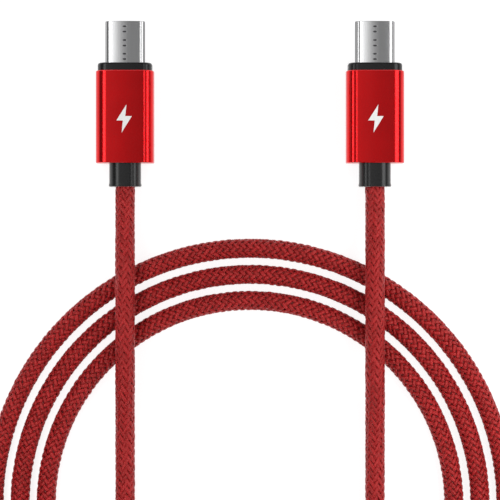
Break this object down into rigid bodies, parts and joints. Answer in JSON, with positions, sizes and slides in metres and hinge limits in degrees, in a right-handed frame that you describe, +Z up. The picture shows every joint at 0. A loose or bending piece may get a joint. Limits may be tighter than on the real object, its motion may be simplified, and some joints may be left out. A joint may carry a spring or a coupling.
{
  "type": "charging cable",
  "caption": "Braided charging cable with a reversible plug on each end, in a red anodised housing, laid as a flat round coil under two straight runs.",
  "frame": {"origin": "on the surface that the cable lies on, under the middle of the box around the two plugs", "axes": "+X from the left plug to the right plug, +Y the way both plugs point, +Z up"},
  "size_m": [0.1112, 0.1562, 0.0086],
  "materials": {
    "shell_steel": "smooth drawn stainless steel, lightly brushed",
    "spring_steel": "thin stamped spring steel",
    "contact_gold": "gold-plated copper alloy",
    "insulator_black": "moulded heat-resistant plastic",
    "board_green": "solder-masked glass-fibre board",
    "can_steel": "thin pressed steel",
    "mould_black": "low-pressure moulded plastic",
    "collar_black": "satin moulded plastic",
    "housing_red": "red anodised, satin",
    "relief_black": "soft moulded elastomer",
    "ferrule_brass": "crimped, matt",
    "jacket_grey": "extruded jacket",
    "braid_red": "braided nylon yarn",
    "wire_red": "extruded insulation",
    "wire_black": "extruded insulation",
    "wire_white": "extruded insulation",
    "wire_green": "extruded insulation",
    "wire_blue": "extruded insulation"
  },
  "bodies": {
    "cable": {"left_shell": "shell_steel", "left_contact_insulator": "insulator_black", "left_upper_contacts": "contact_gold", "left_lower_contacts": "contact_gold", "left_upper_carrier": "insulator_black", "left_lower_carrier": "insulator_black", "left_mid_plate": "spring_steel", "left_upper_ground_spring": "spring_steel", "left_lower_ground_spring": "spring_steel", "left_paddle_board": "board_green", "left_upper_shield_can": "can_steel", "left_lower_shield_can": "can_steel", "left_inner_mould": "mould_black", "left_front_collar": "collar_black", "left_housing": "housing_red", "left_strain_relief": "relief_black", "left_cord_end": "jacket_grey", "left_crimp_ferrule": "ferrule_brass", "left_power_wire": "wire_red", "left_ground_wire": "wire_black", "left_data_plus_wire": "wire_green", "left_data_minus_wire": "wire_white", "left_control_wire": "wire_blue", "right_shell": "shell_steel", "right_contact_insulator": "insulator_black", "right_upper_contacts": "contact_gold", "right_lower_contacts": "contact_gold", "right_upper_carrier": "insulator_black", "right_lower_carrier": "insulator_black", "right_mid_plate": "spring_steel", "right_upper_ground_spring": "spring_steel", "right_lower_ground_spring": "spring_steel", "right_paddle_board": "board_green", "right_upper_shield_can": "can_steel", "right_lower_shield_can": "can_steel", "right_inner_mould": "mould_black", "right_front_collar": "collar_black", "right_housing": "housing_red", "right_strain_relief": "relief_black", "right_cord_end": "jacket_grey", "right_crimp_ferrule": "ferrule_brass", "right_power_wire": "wire_red", "right_ground_wire": "wire_black", "right_data_plus_wire": "wire_green", "right_data_minus_wire": "wire_white", "right_control_wire": "wire_blue", "cord_left_run": "braid_red", "cord_right_run": "braid_red", "cord_coil": "braid_red"},
    "left_outer_latch_arm": {"left_outer_latch_arm": "spring_steel"},
    "left_inner_latch_arm": {"left_inner_latch_arm": "spring_steel"},
    "right_outer_latch_arm": {"right_outer_latch_arm": "spring_steel"},
    "right_inner_latch_arm": {"right_inner_latch_arm": "spring_steel"}
  },
  "joints": [
    {"name": "left_outer_latch", "type": "hinge", "parent": "cable", "child": "left_outer_latch_arm", "pos_m": [-0.02951, 0.0073, 0.0032], "axis": [0, 0, 1], "range_deg": [0, 1.2], "stiffness_Nm_per_rad": 0.3},
    {"name": "left_inner_latch", "type": "hinge", "parent": "cable", "child": "left_inner_latch_arm", "pos_m": [-0.02249, 0.0073, 0.0032], "axis": [0, 0, -1], "range_deg": [0, 1.2], "stiffness_Nm_per_rad": 0.3},
    {"name": "right_outer_latch", "type": "hinge", "parent": "cable", "child": "right_outer_latch_arm", "pos_m": [0.02951, 0.0073, 0.0032], "axis": [0, 0, -1], "range_deg": [0, 1.2], "stiffness_Nm_per_rad": 0.3},
    {"name": "right_inner_latch", "type": "hinge", "parent": "cable", "child": "right_inner_latch_arm", "pos_m": [0.02249, 0.0073, 0.0032], "axis": [0, 0, 1], "range_deg": [0, 1.2], "stiffness_Nm_per_rad": 0.3}
  ]
}
